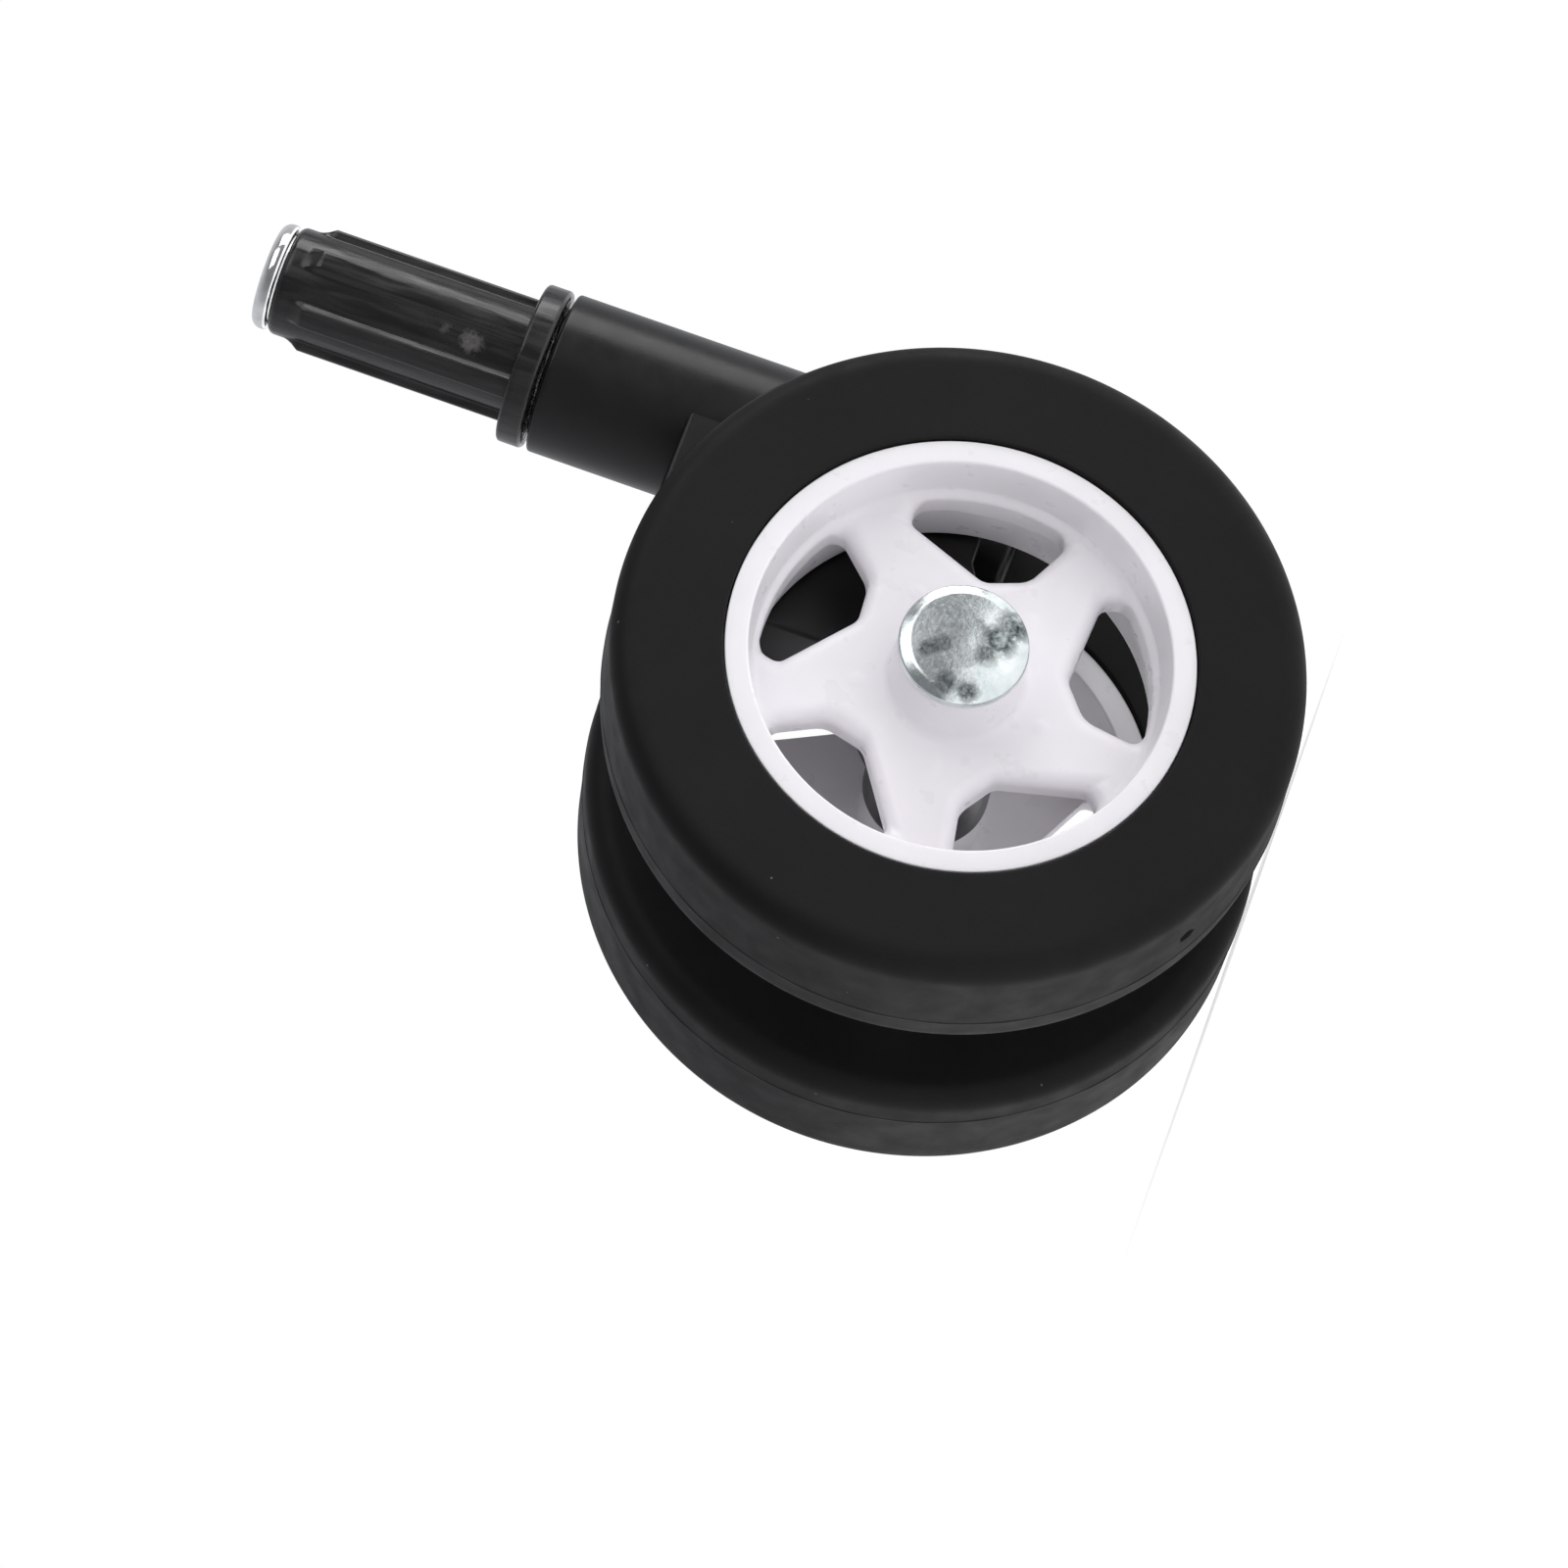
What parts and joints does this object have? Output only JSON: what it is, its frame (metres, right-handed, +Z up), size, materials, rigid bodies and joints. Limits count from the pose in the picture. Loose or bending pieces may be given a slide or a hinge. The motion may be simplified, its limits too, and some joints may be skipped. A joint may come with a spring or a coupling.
{
  "type": "chair caster wheel",
  "caption": "Twin-wheel swivel caster for a chair leg, with black tyres on open-spoked white hubs and a fluted push-in stem sleeve over a steel pin.",
  "frame": {"origin": "on the swivel axis, at the centre of the upper face of the sleeve's collar, which meets the underside of the chair leg", "axes": "+Z up along the swivel axis to the pin's head; Y along the axle, with the axle's formed head at -Y; the wheels trail towards -X"},
  "size_m": [0.0603, 0.0472, 0.1003],
  "materials": {
    "sleeve_black": "glossy moulded black polyamide",
    "pin_chrome": "bright nickel-chrome plate",
    "zinc_steel": "bright zinc plate",
    "fork_black": "satin moulded black polyamide",
    "hub_white": "glossy moulded white polypropylene",
    "tyre_black": "matte soft black tread"
  },
  "bodies": {
    "sleeve": {"socket_sleeve": "sleeve_black"},
    "fork": {"fork_body": "fork_black", "swivel_pin": "pin_chrome", "thrust_washer": "zinc_steel", "pin_retaining_ring": "zinc_steel", "axle": "zinc_steel", "axle_cap": "zinc_steel", "axle_washer_front": "zinc_steel", "axle_washer_rear": "zinc_steel"},
    "wheel_front": {"hub_front": "hub_white", "tyre_front": "tyre_black"},
    "wheel_rear": {"hub_rear": "hub_white", "tyre_rear": "tyre_black"}
  },
  "joints": [
    {"name": "swivel", "type": "hinge", "parent": "sleeve", "child": "fork", "pos_m": [0, 0, 0], "axis": [0, 0, 1], "continuous": true},
    {"name": "spin_front", "type": "hinge", "parent": "fork", "child": "wheel_front", "pos_m": [-0.023, 0, -0.0463], "axis": [0, 1, 0], "continuous": true},
    {"name": "spin_rear", "type": "hinge", "parent": "fork", "child": "wheel_rear", "pos_m": [-0.023, 0, -0.0463], "axis": [0, 1, 0], "continuous": true}
  ]
}
